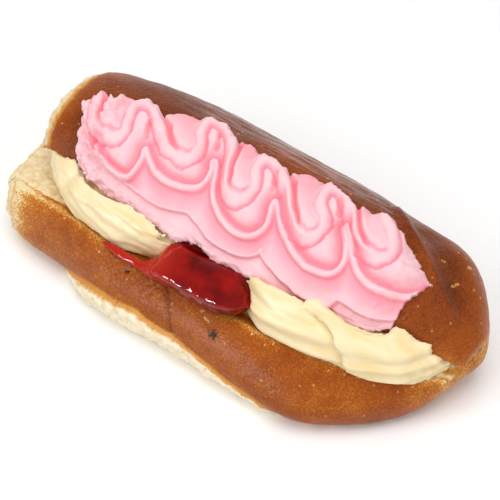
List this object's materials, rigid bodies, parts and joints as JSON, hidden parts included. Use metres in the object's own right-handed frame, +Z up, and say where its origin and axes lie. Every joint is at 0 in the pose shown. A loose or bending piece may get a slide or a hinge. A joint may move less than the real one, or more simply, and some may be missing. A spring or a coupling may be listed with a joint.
{
  "type": "cream finger bun",
  "caption": "Long soft bun slit along its front, filled with piped cream and jam, with pink icing piped in waves along the lid.",
  "frame": {"origin": "on the surface that the bun stands on, under the middle of its box", "axes": "+X along the bun towards its narrower end, +Y from the open front to the joined back, +Z up"},
  "size_m": [0.1694, 0.0802, 0.0625],
  "materials": {
    "bun": "baked golden brown crust with pale torn crumb inside, soft sheen",
    "cream": "pale yellow piped cream, soft and slightly moist",
    "jam": "deep red wet jam, glossy and slightly see-through",
    "icing": "pink piped icing, soft satin"
  },
  "bodies": {
    "root": {"bun": "bun", "cream": "cream", "jam": "jam", "icing": "icing"}
  },
  "joints": []
}
